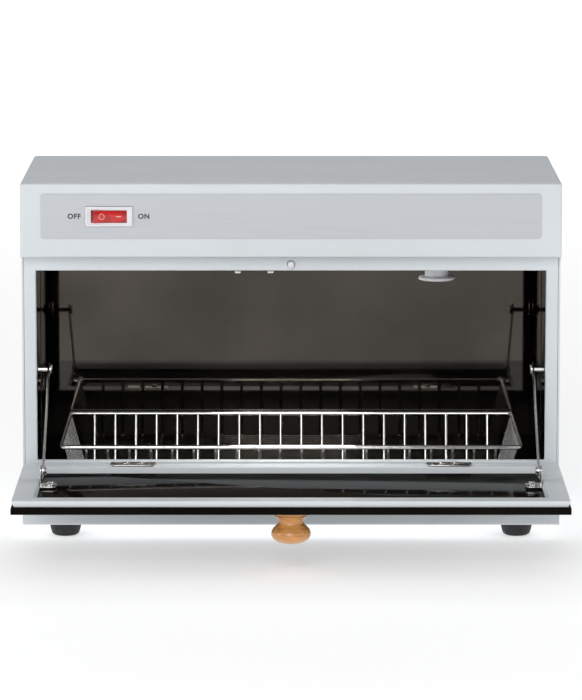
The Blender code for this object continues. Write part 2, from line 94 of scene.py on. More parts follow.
# %% Floor
FLOOR_SIZE = 60  # metres
FLOOR_DROP = 0.2 * MM  # below the feet
PAPER = (0.88, 0.88, 0.88, 1)
PAPER_GLOW = 0.5  # it shines a little, so that it turns fully white in the distance
bpy.ops.mesh.primitive_plane_add(size=FLOOR_SIZE, location=(0, 0, -FLOOR_DROP))
floor = bpy.context.object
floor.name = "floor"
bpy.ops.object.transform_apply(location=True, rotation=False, scale=False)
floor_paper = bpy.data.materials.new("floor paper")
floor_paper.use_nodes = True
paper = floor_paper.node_tree.nodes["Principled BSDF"]
paper.inputs["Base Color"].default_value = PAPER
paper.inputs["Roughness"].default_value = 0.9
paper.inputs["Specular IOR Level"].default_value = 0.1
paper.inputs["Emission Color"].default_value = (1, 1, 1, 1)
paper.inputs["Emission Strength"].default_value = PAPER_GLOW
floor.data.materials.append(floor_paper)
print("floor laid")

# %% Lights
UNDER_CABINET = (0, 0.06, 0)
SKY = (0.97, 0.985, 1.0, 1)
SKY_STRENGTH = 0.25
LIGHTS = {  # name: place and target in metres, size in metres, power in watts
    "front_softbox": ((-0.5, -3.2, 1.5), UNDER_CABINET, 1.8, 43),
    "top_softbox": ((0.3, 0.4, 2.6), UNDER_CABINET, 2.2, 1),
    "left_fill": ((-2.6, -0.8, 1.0), UNDER_CABINET, 1.2, 10),
    "right_fill": ((2.6, -0.8, 1.0), UNDER_CABINET, 1.2, 10),
    "background_softbox": ((0, 6.0, 3.0), (0, 6.5, 0), 4.0, 190),
    "chamber_fill": ((0, 0.06, 0.214), UNDER_CABINET, 0.1, 0.35),
}


def softbox(name, place, target, size, power):
    """A square area light that looks at a point on the floor."""
    aim = Vector(target) - Vector(place)
    bpy.ops.object.light_add(type="AREA", location=place, rotation=aim.to_track_quat("-Z", "Y").to_euler())
    light = bpy.context.object
    light.name = name
    light.data.size = size
    light.data.energy = power


for light_name, settings in LIGHTS.items():
    softbox(light_name, *settings)

world = bpy.data.worlds.new("studio")
bpy.context.scene.world = world
world.use_nodes = True
world.node_tree.nodes["Background"].inputs["Color"].default_value = SKY
world.node_tree.nodes["Background"].inputs["Strength"].default_value = SKY_STRENGTH
bpy.context.scene.view_settings.view_transform = "Standard"
print(f"{len(LIGHTS)} lights and a pale sky")

# %% [markdown]
# ## Finishes
# Real surfaces are never one flat colour. Powder paint has a faint orange peel, foil is brushed one way,
# plated wire has cloudy spots, wood has grain, and polished steel shows where a cloth has wiped it.
# We could paint such marks in an image. We use noise nodes on Object coordinates, because they cost nothing
# to store, stay with the piece as it moves, and hold their real size in metres whatever the piece's size.
# So each finish is a shader with a pattern or two, which change its colour, its gloss and its relief.

# %% Helpers for finishes


def linear(red, green, blue):
    """A colour given as it looks on a screen, from 0 to 255, turned into the light that shaders count in."""
    return [((c / 255 + 0.055) / 1.055) ** 2.4 if c > 10 else c / 255 / 12.92 for c in (red, green, blue)]


def finish(name, slot, colour, roughness, metallic=0.0, **more):
    """A new material for one of the record's slots. More sockets are given by name, with _ for a space."""
    made = bpy.data.materials.new(name)
    made.use_nodes = True
    made["slot"] = slot
    shader = made.node_tree.nodes["Principled BSDF"]
    shader.inputs["Base Color"].default_value = (*colour, 1)
    shader.inputs["Roughness"].default_value = roughness
    shader.inputs["Metallic"].default_value = metallic
    for socket, value in more.items():
        shader.inputs[socket.replace("_", " ")].default_value = value
    return made


def grain(material, size, detail=3.0, stretch=(1, 1, 1)):
    """A noise whose patches are about size metres across, times stretch along each axis."""
    tree = material.node_tree
    place = tree.nodes.new("ShaderNodeTexCoord")
    squeeze = tree.nodes.new("ShaderNodeMapping")
    squeeze.inputs["Scale"].default_value = [1 / (size * s) for s in stretch]
    noise = tree.nodes.new("ShaderNodeTexNoise")
    noise.inputs["Scale"].default_value = 1
    noise.inputs["Detail"].default_value = detail
    tree.links.new(place.outputs["Object"], squeeze.inputs["Vector"])
    tree.links.new(squeeze.outputs["Vector"], noise.inputs["Vector"])
    return noise.outputs["Fac"]


def tint(material, pattern, dark, light, low=0.35, high=0.65):
    """The pattern, a list of what grain takes, runs the base colour from dark to light."""
    tree = material.node_tree
    ramp = tree.nodes.new("ShaderNodeValToRGB")
    ramp.color_ramp.elements[0].position = low
    ramp.color_ramp.elements[0].color = (*dark, 1)
    ramp.color_ramp.elements[1].position = high
    ramp.color_ramp.elements[1].color = (*light, 1)
    tree.links.new(grain(material, *pattern), ramp.inputs["Fac"])
    tree.links.new(ramp.outputs["Color"], tree.nodes["Principled BSDF"].inputs["Base Color"])


def wear(material, pattern, smooth, rough):
    """The pattern runs the roughness from smooth to rough."""
    tree = material.node_tree
    spread = tree.nodes.new("ShaderNodeMapRange")
    spread.inputs["From Min"].default_value = 0.3
    spread.inputs["From Max"].default_value = 0.7
    spread.inputs["To Min"].default_value = smooth
    spread.inputs["To Max"].default_value = rough
    tree.links.new(grain(material, *pattern), spread.inputs["Value"])
    tree.links.new(spread.outputs["Result"], tree.nodes["Principled BSDF"].inputs["Roughness"])


def relief(material, pattern, depth, strength=0.3):
    """The pattern raises the surface by about depth metres, as light sees it."""
    tree = material.node_tree
    bump = tree.nodes.new("ShaderNodeBump")
    bump.inputs["Strength"].default_value = strength
    bump.inputs["Distance"].default_value = depth
    tree.links.new(grain(material, *pattern), bump.inputs["Height"])
    tree.links.new(bump.outputs["Normal"], tree.nodes["Principled BSDF"].inputs["Normal"])


def shade(colour, share):
    """The same colour with a share of its light."""
    return [c * share for c in colour]


print("helpers for finishes ready")

# %% Powder paint and label foil
PAINT = linear(226, 231, 234)
powder_paint = finish("white powder paint", "painted_steel", PAINT, 0.45, Specular_IOR_Level=0.22)
tint(powder_paint, [60 * MM], shade(PAINT, 0.965), PAINT)
wear(powder_paint, [9 * MM, 6], 0.42, 0.56)
relief(powder_paint, [1.6 * MM, 2], 0.05 * MM, 0.22)

FOIL = linear(199, 202, 207)
brushed_foil = finish("brushed foil", "label_foil", FOIL, 0.42, 0.25)
tint(brushed_foil, [1.2 * MM, 4, (40, 1, 0.25)], shade(FOIL, 0.955), shade(FOIL, 1.02))
wear(brushed_foil, [3 * MM, 3, (20, 1, 0.3)], 0.34, 0.50)
relief(brushed_foil, [0.5 * MM, 2, (60, 1, 0.6)], 0.02 * MM, 0.15)
print(powder_paint.name, "and", brushed_foil.name)

# %% Polished, plated and plain metals
# The liner is far darker than polished steel: its colour holds painted shade, for the dark chamber that its
# mirror shows.
MIRROR_WITH_PAINTED_SHADE = (0.064, 0.057, 0.050)
mirror_steel_with_painted_shade = finish("polished liner steel", "polished_liner", MIRROR_WITH_PAINTED_SHADE, 0.03, 1.0)
tint(mirror_steel_with_painted_shade, [90 * MM], shade(MIRROR_WITH_PAINTED_SHADE, 0.85), shade(MIRROR_WITH_PAINTED_SHADE, 1.15))
wear(mirror_steel_with_painted_shade, [25 * MM, 5], 0.015, 0.045)
relief(mirror_steel_with_painted_shade, [90 * MM, 1], 0.2 * MM, 0.08)

CHROME = (0.74, 0.73, 0.71)
plated_steel = finish("plated steel", "chromed_steel", CHROME, 0.16, 1.0)
tint(plated_steel, [3 * MM], shade(CHROME, 0.80), shade(CHROME, 1.08))
wear(plated_steel, [1.5 * MM, 5], 0.10, 0.26)
relief(plated_steel, [0.4 * MM, 2], 0.01 * MM, 0.15)

plated_wire = finish("plated wire", "basket_wire", CHROME, 0.14, 1.0)
tint(plated_wire, [5 * MM], shade(CHROME, 0.82), shade(CHROME, 1.12))
wear(plated_wire, [2 * MM, 5], 0.08, 0.24)

ALUMINIUM = (0.78, 0.79, 0.80)
spun_aluminium = finish("spun aluminium", "aluminium_cap", ALUMINIUM, 0.32, 1.0)
tint(spun_aluminium, [2 * MM], shade(ALUMINIUM, 0.85), ALUMINIUM)
wear(spun_aluminium, [0.8 * MM, 4, (0.2, 1, 1)], 0.26, 0.42)

STEEL = (0.34, 0.34, 0.35)
core_steel = finish("varnished core steel", "ballast_steel", STEEL, 0.45, 0.9)
tint(core_steel, [0.9 * MM, 3, (1, 30, 30)], shade(STEEL, 0.6), shade(STEEL, 1.15))
wear(core_steel, [6 * MM, 5], 0.36, 0.58)
print("six metals mixed")

# %% Glass, wood, rubber and plastics
TINTED = (0.007, 0.006, 0.005)
tinted_glass = finish("tinted glass", "tinted_glass", TINTED, 0.04, Specular_IOR_Level=0.003)
tint(tinted_glass, [120 * MM], shade(TINTED, 0.8), shade(TINTED, 1.3))
wear(tinted_glass, [30 * MM, 6], 0.03, 0.09)

QUARTZ = (0.86, 0.90, 0.96)
quartz_glass = finish("quartz glass", "lamp_glass", QUARTZ, 0.08, Transmission_Weight=0.7, IOR=1.46)
tint(quartz_glass, [30 * MM], shade(QUARTZ, 0.9), QUARTZ)
wear(quartz_glass, [12 * MM, 5], 0.05, 0.16)

LIGHT_WOOD, DARK_WOOD = linear(226, 166, 98), linear(196, 128, 66)
LACQUER = {"Coat_Weight": 0.6, "Coat_Roughness": 0.12}
lacquered_wood = finish("lacquered wood", "turned_wood", LIGHT_WOOD, 0.30, **LACQUER)
tint(lacquered_wood, [3.2 * MM, 4, (9, 1.4, 0.5)], DARK_WOOD, LIGHT_WOOD, 0.34, 0.62)
wear(lacquered_wood, [1.2 * MM, 4, (0.5, 6, 1)], 0.26, 0.44)
relief(lacquered_wood, [0.5 * MM, 3, (0.5, 12, 1)], 0.03 * MM, 0.2)

RUBBER = (0.018, 0.018, 0.019)
moulded_rubber = finish("moulded rubber", "black_rubber", RUBBER, 0.62)
tint(moulded_rubber, [4 * MM], shade(RUBBER, 0.7), shade(RUBBER, 1.6))
wear(moulded_rubber, [2 * MM, 5], 0.50, 0.76)
relief(moulded_rubber, [0.5 * MM, 3], 0.05 * MM, 0.3)

WHITE = linear(240, 240, 243)
white_plastic = finish("white moulded plastic", "white_plastic", WHITE, 0.32)
tint(white_plastic, [12 * MM], shade(WHITE, 0.95), WHITE)
wear(white_plastic, [2 * MM, 4], 0.26, 0.40)

BLACK = (0.022, 0.022, 0.024)
black_plastic = finish("black moulded plastic", "black_plastic", BLACK, 0.42)
tint(black_plastic, [6 * MM], shade(BLACK, 0.7), shade(BLACK, 1.5))
wear(black_plastic, [1 * MM, 4], 0.34, 0.52)

RED = linear(205, 18, 22)
# The faint red emission on the rocker is a painted glow.
red_plastic = finish("clear red plastic with painted glow", "red_plastic", RED, 0.16, Coat_Weight=0.5, Emission_Strength=0.06)
red_plastic.node_tree.nodes["Principled BSDF"].inputs["Emission Color"].default_value = (1, 0.02, 0.02, 1)
tint(red_plastic, [5 * MM, 2], shade(RED, 0.62), shade(RED, 1.12))
wear(red_plastic, [3 * MM, 4], 0.12, 0.22)

INSULATION = (0.035, 0.06, 0.20)
lead_insulation = finish("lead insulation", "wire_insulation", INSULATION, 0.45)
tint(lead_insulation, [8 * MM], shade(INSULATION, 0.75), shade(INSULATION, 1.2))
wear(lead_insulation, [1 * MM, 4], 0.38, 0.54)

INK = (0.035, 0.036, 0.04)
printed_ink = finish("printed ink", "label_foil", INK, 0.5)
tint(printed_ink, [0.6 * MM], shade(INK, 0.7), shade(INK, 1.5))
wear(printed_ink, [0.4 * MM], 0.42, 0.6)

PALE_MARK = linear(250, 205, 205)
pale_print = finish("pale print", "red_plastic", PALE_MARK, 0.4)
tint(pale_print, [0.6 * MM], shade(PALE_MARK, 0.85), PALE_MARK)
wear(pale_print, [0.4 * MM], 0.34, 0.48)
print("glass, wood, rubber, plastics and print mixed")

# %% [markdown]
# ## Working by hand, in code
# In Blender's window we would click on faces and press keys. In a script the same operators work on whatever
# is selected, so the helpers below do what our hands would: pick faces or edges by where they are, run one
# operator on them, and leave edit mode again.
# A primitive's place goes into its mesh at once, so that every object stays at the origin, as the CAD
# nodes do, and one set of coordinates serves the whole cabinet.

# %% Helpers for modelling
SHARP = 0.9  # how squarely a face has to look along an axis to count
NEAR = 0.02 * MM
SIDES = ("left", "right")


def only(piece):
    """Make one piece the selected and active object."""
    bpy.ops.object.select_all(action="DESELECT")
    piece.select_set(True)
    bpy.context.view_layer.objects.active = piece


def settle(name):
    """Name the newest object and put its place, turn and size into its mesh."""
    piece = bpy.context.object
    piece.name = piece.data.name = name
    only(piece)
    bpy.ops.object.transform_apply(location=True, rotation=True, scale=True)
    return piece


def block(name, low, high):
    """A box between two corners, the start of most pressed and moulded pieces."""
    bpy.ops.object.select_all(action="DESELECT")
    low, high = Vector(low), Vector(high)
    bpy.ops.mesh.primitive_cube_add(size=1, location=(low + high) / 2, scale=high - low)
    return settle(name)


def work(piece, kind, wanted, operator, **settings):
    """In edit mode, select the faces or edges that are wanted, run one operator on them, and come back.
    A face is judged by its centre and normal, and an edge by its two ends."""
    only(piece)
    bpy.ops.object.mode_set(mode="EDIT")
    bpy.ops.mesh.select_mode(type=kind)
    bpy.ops.mesh.select_all(action="DESELECT")
    mesh = bmesh.from_edit_mesh(piece.data)
    if kind == "FACE":
        chosen = [f for f in mesh.faces if wanted(f.calc_center_median(), f.normal)]
    else:
        chosen = [e for e in mesh.edges if wanted(e.verts[0].co, e.verts[1].co)]
    for element in chosen:
        element.select_set(True)
    bmesh.update_edit_mesh(piece.data)
    operator(**settings)
    bpy.ops.object.mode_set(mode="OBJECT")


def everything(*_):
    return True


def same(a, b):
    return abs(a - b) < NEAR


def along(axis):
    """Wants the edges that run along one axis, 0 for X, 1 for Y and 2 for Z."""
    return lambda a, b: all(same(a[i], b[i]) for i in range(3) if i != axis)


def split(piece, point, normal):
    """Cut an edge line right round the piece where a plane passes."""
    work(piece, "FACE", everything, bpy.ops.mesh.bisect, plane_co=point, plane_no=normal)


def drop(piece, wanted):
    work(piece, "FACE", wanted, bpy.ops.mesh.delete, type="FACE")


def pull(piece, kind, wanted, move):
    """Extrude the wanted faces or edges by a move in metres."""
    work(piece, kind, wanted, bpy.ops.mesh.extrude_region_move, TRANSFORM_OT_translate={"value": move})


def inset(piece, wanted, width):
    work(piece, "FACE", wanted, bpy.ops.mesh.inset, thickness=width)


def round_edges(piece, wanted, width, steps=4):
    work(piece, "EDGE", wanted, bpy.ops.mesh.bevel, offset=width, segments=steps, affect="EDGES")


def modify(piece, kind, **settings):
    """Add one modifier, set it, and apply it."""
    only(piece)
    modifier = piece.modifiers.new(kind.title(), kind)
    for setting, value in settings.items():
        setattr(modifier, setting, value)
    bpy.ops.object.modifier_apply(modifier=modifier.name)


def soften(piece, width, steps=2, angle=40):
    """Take the sharpness off every edge that turns by more than an angle, so that it catches the light."""
    modify(piece, "BEVEL", width=width, segments=steps, limit_method="ANGLE", angle_limit=radians(angle))


def cut_away(piece, *cutters):
    for cutter in cutters:
        modify(piece, "BOOLEAN", operation="DIFFERENCE", solver="EXACT", object=cutter)
        bpy.data.objects.remove(cutter)


def welded(piece):
    """Merge the doubled points that a text, a curve or a cut leaves, and turn every face outwards."""
    work(piece, "FACE", everything, bpy.ops.mesh.remove_doubles, threshold=0.005 * MM)
    work(piece, "FACE", everything, bpy.ops.mesh.normals_make_consistent, inside=False)
    return piece


def together(name, *pieces):
    """Several shapes of one real piece become one object."""
    only(pieces[0])
    for piece in pieces[1:]:
        piece.select_set(True)
    bpy.ops.object.join()
    return settle(name)


def copied(piece, name, shift=(0, 0, 0), mirror=False):
    """Another of the same piece, with its own mesh, moved by shift or mirrored left to right."""
    only(piece)
    bpy.ops.object.duplicate(linked=False)
    twin = bpy.context.object
    twin.location = shift
    if mirror:
        twin.scale.x = -1
    twin = settle(name)
    if mirror:
        work(twin, "FACE", everything, bpy.ops.mesh.normals_make_consistent, inside=False)
    return twin


def dress(piece, material, *stands_for, body=None, angle=35):
    """Shade the piece, give it its finish, and let it ride with the CAD nodes that it stands for."""
    only(piece)
    bpy.ops.object.shade_smooth_by_angle(angle=radians(angle))
    piece.data.materials.clear()
    piece.data.materials.append(material)
    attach(piece, body or body_of[stands_for[0]])
    if stands_for:
        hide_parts(*stands_for)
    print(f"{piece.name}: {len(piece.data.polygons)} faces, {material.name}")


def dress_both(right, node):
    """Dress a right-hand piece in plated steel, with a mirrored copy of it for the left."""
    left = copied(right, right.name.replace("right", "left"), mirror=True)
    dress(right, plated_steel, f"{node}_right")
    dress(left, plated_steel, f"{node}_left")


print("helpers for modelling ready")

# %% [markdown]
# ## Turned pieces
# Feet, knobs, pins, caps and screw heads are round about one axis. The real ones are turned on a lathe or
# moulded in a round die. We could spin an outline, but extruding a disc ring by ring is closer to how a
# turner works: each step moves along the axis and then opens or closes to the next radius.
# Both ends stay filled, so the solid is closed without a seam.

# %% Helpers for turned pieces


def turned(name, outline, centre=(0, 0, 0), axis="Z", sides=40, soft=0.0):
    """A round solid. The outline's (radius, along) pairs are in metres, and run along the axis."""
    bpy.ops.object.select_all(action="DESELECT")
    radius, level = outline[0]
    start = (0, 0, level)
    bpy.ops.mesh.primitive_circle_add(vertices=sides, radius=radius, fill_type="NGON", location=start)
    piece = settle(name)
    bpy.ops.object.mode_set(mode="EDIT")
    bpy.ops.mesh.select_mode(type="FACE")
    bpy.ops.mesh.select_all(action="SELECT")
    for (radius, level), (next_radius, next_level) in zip(outline, outline[1:]):
        rise = {"value": (0, 0, next_level - level)}
        bpy.ops.mesh.extrude_region_move(TRANSFORM_OT_translate=rise)
        ratio = next_radius / radius
        bpy.ops.transform.resize(value=(ratio, ratio, 1), center_override=(0, 0, next_level))
    bpy.ops.mesh.select_all(action="SELECT")
    bpy.ops.mesh.normals_make_consistent(inside=False)
    bpy.ops.object.mode_set(mode="OBJECT")
    if soft:
        soften(piece, soft)
    piece.location = centre
    piece.rotation_euler = {"X": (0, radians(90), 0), "Y": (radians(-90), 0, 0), "Z": (0, 0, 0)}[axis]
    return settle(name)


def measured(start, outline, way=1):
    """Turn (radius, distance from a start) pairs in millimetres into places in metres."""
    return [(radius * MM, start + way * away * MM) for radius, away in outline]


def drill(name, radius, centre):
    """A round cutter along Y, long enough for any sheet here."""
    return turned(name, [(radius, -10 * MM), (radius, 10 * MM)], centre, "Y")


def middle(node):
    low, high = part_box(node)
    return (low + high) / 2


print("helpers for turned pieces ready")

# %% [markdown]
# ## The case
# The real case is sheet steel, cut flat, folded over a bar and painted. A fold leaves a rounded outside
# corner, and that soft corner is most of what tells the eye that this is metal and not card.
# We could bevel a solid box, but then the header would have no hollow under it. So we start from a box,
# keep only the faces that are sheet, round the folds, and give the sheet its thickness at the end.

# %% Levels that the case shares
SHEET = 1.5 * MM
GAP = 0.3 * MM
FOLD = 1.8 * MM
cover_low, cover_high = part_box("outer_cover")
surround_low, surround_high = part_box("door_surround")
base_low, base_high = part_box("base_pan")
header_bottom = surround_high.z + GAP
recess = surround_low.y
half_width = cover_high.x
print(f"the header hangs {(cover_high.z - header_bottom) / MM:.0f} mm down, over a recess of "
      f"{(recess - cover_low.y) / MM:.0f} mm")

# %% Wrapper: top, sides and header
wrapper = block("case_wrapper", cover_low, cover_high)
lip_top = base_high.z + GAP
lip_back = cover_low.y + SHEET + GAP
split(wrapper, (0, 0, header_bottom), (0, 0, 1))
split(wrapper, (0, 0, lip_top), (0, 0, 1))
split(wrapper, (0, recess, 0), (0, 1, 0))
split(wrapper, (0, lip_back, 0), (0, 1, 0))
drop(wrapper, lambda c, n: n.y > SHARP or n.z < -SHARP)
drop(wrapper, lambda c, n: n.y < -SHARP and c.z < header_bottom)
drop(wrapper, lambda c, n: abs(n.x) > SHARP and lip_top < c.z < header_bottom and c.y < recess)
drop(wrapper, lambda c, n: abs(n.x) > SHARP and c.z < lip_top and c.y < lip_back)
pull(
    wrapper,
    "EDGE",
    lambda a, b: all(same(p.y, cover_low.y) and same(p.z, header_bottom) for p in (a, b)),
    (0, recess - GAP - cover_low.y, 0),
)


def on_fold(a, b):
    """True for the wrapper's folds: top to side, top to header, header to side and header to return."""
    top, front, side, low = (
        all(same(p.z, cover_high.z) for p in (a, b)),
        all(same(p.y, cover_low.y) for p in (a, b)),
        all(same(abs(p.x), half_width) for p in (a, b)) and same(a.x, b.x),
        all(same(p.z, header_bottom) for p in (a, b)),
    )
    return (top and side) or (top and front) or (front and side) or (front and low)


round_edges(wrapper, on_fold, FOLD)
modify(wrapper, "SOLIDIFY", thickness=SHEET, offset=-1)


def switch_cutter(level, ends, sides):
    """A block like the switch, smaller by a margin at its ends and sides, through the sheet at level."""
    margin = Vector((ends, 0, sides))
    low, high = switch_low + margin, switch_high - margin
    low.y, high.y = level - 5 * MM, level + 5 * MM
    return block("switch_cutter", low, high)


switch_low, switch_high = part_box("switch_housing")
cut_away(wrapper, switch_cutter(cover_low.y, 2.4 * MM, 1.1 * MM))
welded(wrapper)
dress(wrapper, powder_paint, "outer_cover")

# %% Base tray
base = block("base_tray", base_low, base_high)
drop(base, lambda c, n: n.y > SHARP or abs(n.x) > SHARP or n.z > SHARP)
pull(
    base,
    "EDGE",
    lambda a, b: all(same(p.y, base_low.y) and same(p.z, base_high.z) for p in (a, b)),
    (0, recess - GAP - base_low.y, 0),
)
round_edges(base, lambda a, b: along(0)(a, b) and same(a.y, base_low.y), FOLD)
modify(base, "SOLIDIFY", thickness=SHEET, offset=-1)
soften(base, 0.3 * MM, angle=60)
dress(base, powder_paint, "base_pan")

# %% Rear panel
panel_low, panel_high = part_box("rear_panel")
rear = block("back_panel", panel_low, panel_high)
round_edges(rear, along(1), 3 * MM)
gland = middle("cord_gland")
cut_away(rear, drill("gland_hole", 6.6 * MM, (gland.x, panel_low.y, gland.z)))
soften(rear, 0.4 * MM)
dress(rear, powder_paint, "rear_panel")

# %% [markdown]
# ## The door surround
# Behind the header stands the frame that the door shuts against: a flat flange with a short collar folded
# back round the opening. On the real cabinet it is one stamping.
# We cut the flange's face along the opening's four sides, take the middle out, and pull the hole's rim
# backwards. Thickness comes last again, so that the fold is equally thick all round.

# %% Flange and collar
OPENING_HALF = 199 * MM
OPENING_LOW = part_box("hinge_leaf_cabinet_left")[1].z + GAP  # the hinge leaf lies on the rail
OPENING_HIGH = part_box("interlock_bracket")[0].z - GAP - SHEET  # the bracket lies on the collar
surround = block("door_flange", surround_low, surround_high)
drop(surround, lambda c, n: n.y > -SHARP)
for side in (-1, 1):
    split(surround, (side * OPENING_HALF, 0, 0), (1, 0, 0))
for level in (OPENING_LOW, OPENING_HIGH):
    split(surround, (0, 0, level), (0, 0, 1))


def in_opening(p):
    return abs(p.x) < OPENING_HALF + NEAR and OPENING_LOW - NEAR < p.z < OPENING_HIGH + NEAR


drop(surround, lambda c, n: in_opening(c))
pull(surround, "EDGE", lambda a, b: in_opening(a) and in_opening(b), (0, surround_high.y - recess, 0))
round_edges(surround, lambda a, b: all(in_opening(p) and same(p.y, recess) for p in (a, b)), 1.2 * MM)
modify(surround, "SOLIDIFY", thickness=SHEET, offset=-1)
plunger = middle("interlock_plunger")
cut_away(surround, drill("plunger_hole", 3.2 * MM, (plunger.x, recess, plunger.z)))
dress(surround, powder_paint, "door_surround")

# %% [markdown]
# ## Label and switch
# A silver foil label covers most of the header, and a lit rocker switch snaps through it in a white bezel.
# The bezel is moulded: a rim, a step and a deep pocket. The rocker has two wings that meet in a shallow
# valley, with a ring on one wing and a bar on the other, as on any mains switch.
# We could draw those marks in the material. We model them, because printed ink stands a little proud and a
# mesh stays sharp in a close view.

# %% Foil label
label_low, label_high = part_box("label_plate")
label = block("foil_label", label_low, label_high)
round_edges(label, along(1), 2 * MM)
LABEL_CLEARANCE = 0.4 * MM
cut_away(label, switch_cutter(label_low.y, -LABEL_CLEARANCE, -LABEL_CLEARANCE))
dress(label, brushed_foil, "label_plate")

# %% ON and OFF
LETTER_SIZE = 5.4 * MM
MARK_OFFSET = 27 * MM  # from the switch's middle to a word's middle
INK_THICKNESS = 0.04 * MM
INK_SPREAD = 0.2 * MM  # how much bolder than the plain font
switch = middle("switch_housing")


def word(name, text, x):
    """Flat letters that stand on the header, made a mesh before they are put in place."""
    bpy.ops.object.select_all(action="DESELECT")
    bpy.ops.object.text_add(rotation=(radians(90), 0, 0))
    letters = bpy.context.object
    letters.data.body = text
    letters.data.size = LETTER_SIZE
    letters.data.space_character = 1.12
    letters.data.align_x = "CENTER"
    letters.data.align_y = "CENTER"
    letters.data.offset = INK_SPREAD
    letters.data.extrude = INK_THICKNESS
    letters.location = (x, label_low.y, switch.z)
    bpy.ops.object.convert(target="MESH")
    dress(welded(settle(name)), printed_ink, body="cabinet")


word("word_off", "OFF", switch.x - MARK_OFFSET)
word("word_on", "ON", switch.x + MARK_OFFSET)

# %% Switch bezel
BEZEL_RIM = 1.8 * MM
BEZEL_STEP = 1 * MM  # between the rim and the pocket
BEZEL_STEP_DEPTH = 0.7 * MM
BEZEL_WALL = 1.6 * MM
POCKET_DEPTH = 11 * MM
POCKET_NARROWER = 0.9
bezel_back = label_high.y - 0.1 * MM
bezel = block("switch_bezel", switch_low, (switch_high.x, bezel_back, switch_high.z))


def central(c):
    return abs(c.x - switch.x) < 1 * MM and abs(c.z - switch.z) < 1 * MM


def pocket_floor(c, n):
    """The one forward face that is centred on the switch: the floor of the pocket so far."""
    return n.y < -SHARP and central(c)


inset(bezel, pocket_floor, BEZEL_RIM)
pull(bezel, "FACE", pocket_floor, (0, BEZEL_STEP_DEPTH, 0))
inset(bezel, pocket_floor, BEZEL_STEP)
narrower = {"value": (POCKET_NARROWER, 1, 1), "center_override": switch}
work(bezel, "FACE", pocket_floor, bpy.ops.transform.resize, **narrower)
pull(bezel, "FACE", pocket_floor, (0, POCKET_DEPTH, 0))
inset(bezel, lambda c, n: n.y > SHARP, BEZEL_WALL)
pull(bezel, "FACE", lambda c, n: n.y > SHARP and central(c), (0, switch_high.y - bezel_back, 0))
soften(bezel, 0.35 * MM)
dress(bezel, white_plastic, "switch_housing")

# %% Rocker
ROCKER_HALF = Vector((13.2, 3.1, 4.6)) * MM
VALLEY = 1.6 * MM
ROCKER_TILT = radians(8)  # it rests pressed in on the right
PIVOT_DEPTH = 4.5 * MM  # of the rocker's pin behind the header
ROCKER_REACH = 7.2 * MM  # from the pin to the wings
rocker_pivot = Vector((switch.x, cover_low.y + PIVOT_DEPTH, switch.z))
rocker_face = rocker_pivot.y - ROCKER_REACH
rocker_middle = Vector((switch.x, rocker_face + ROCKER_HALF.y, switch.z))
rocker = block("rocker_wings", rocker_middle - ROCKER_HALF, rocker_middle + ROCKER_HALF)
split(rocker, rocker_middle, (1, 0, 0))
work(
    rocker,
    "EDGE",
    lambda a, b: all(same(p.x, switch.x) and same(p.y, rocker_face) for p in (a, b)),
    bpy.ops.transform.translate,
    value=(0, VALLEY, 0),
)
soften(rocker, 0.4 * MM, steps=3, angle=20)
print(f"the rocker is {2 * ROCKER_HALF.x / MM:.1f} mm wide")

# %% Rocker marks
wing_slope = atan2(VALLEY, ROCKER_HALF.x)
wing_middle = rocker_face + VALLEY / 2
bpy.ops.object.select_all(action="DESELECT")
bpy.ops.mesh.primitive_torus_add(
    major_radius=2.1 * MM,
    minor_radius=0.25 * MM,
    major_segments=40,
    minor_segments=10,
    location=(switch.x - ROCKER_HALF.x / 2, wing_middle, switch.z),
    rotation=(radians(90), 0, wing_slope),
)
ring = settle("mark_ring")
bpy.ops.object.select_all(action="DESELECT")
bpy.ops.mesh.primitive_cube_add(
    size=1,
    location=(switch.x + ROCKER_HALF.x / 2, wing_middle, switch.z),
    rotation=(0, 0, -wing_slope),
    scale=(4.2 * MM, 0.5 * MM, 0.6 * MM),
)
bar = settle("mark_bar")
soften(bar, 0.12 * MM)


def tip(piece):
    """Turn a part of the rocker about the pin that it rocks on, by the object's own turn, and apply it."""
    only(piece)
    bpy.context.scene.cursor.location = rocker_pivot
    bpy.ops.object.origin_set(type="ORIGIN_CURSOR")
    piece.rotation_euler.z = ROCKER_TILT
    bpy.context.scene.cursor.location = (0, 0, 0)
    return settle(piece.name)


dress(tip(rocker), red_plastic, "switch_rocker")
for mark in (ring, bar):
    dress(tip(mark), pale_print, body="rocker")

# %% [markdown]
# ## The interlock
# A sterilizer must not shine at anyone, so a white plunger stands out of the top rail and the closing door
# pushes it in. The switch that it works hangs behind the rail on a thin bracket, whose two nuts show below.
# The plunger is moulded with a domed end and is smooth, so a turned solid with a softened rim is enough.

# %% Plunger and nuts
plunger_low, plunger_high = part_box("interlock_plunger")
PLUNGER_RADIUS = (plunger_high.x - plunger_low.x) / 2
pin = turned(
    "interlock_pin",
    [
        (PLUNGER_RADIUS * 0.45, plunger_low.y),
        (PLUNGER_RADIUS * 0.85, plunger_low.y + 0.4 * MM),
        (PLUNGER_RADIUS, plunger_low.y + 1.2 * MM),
        (PLUNGER_RADIUS, plunger_high.y),
    ],
    (plunger.x, 0, plunger.z),
    "Y",
    soft=0.15 * MM,
)
dress(pin, white_plastic, "interlock_plunger")

for side in SIDES:
    node = f"bracket_screw_{side}"
    low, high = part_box(node)
    centre = middle(node)
    washer_top = OPENING_HIGH - GAP
    place = (centre.x, centre.y, 0)
    nut_outline = measured(low.z, [(2.3, 0.0), (2.8, 0.5)]) + [(2.8 * MM, washer_top)]
    stem_outline = measured(low.z, [(1.2, 0.2), (1.5, 0.6)]) + [(1.5 * MM, high.z)]
    nut = turned(f"bracket_nut_{side}", nut_outline, place, sides=6, soft=0.25 * MM)
    stem = turned(f"bracket_stem_{side}", stem_outline, place, sides=24)
    dress(together(f"bracket_bolt_{side}", nut, stem), plated_steel, node)

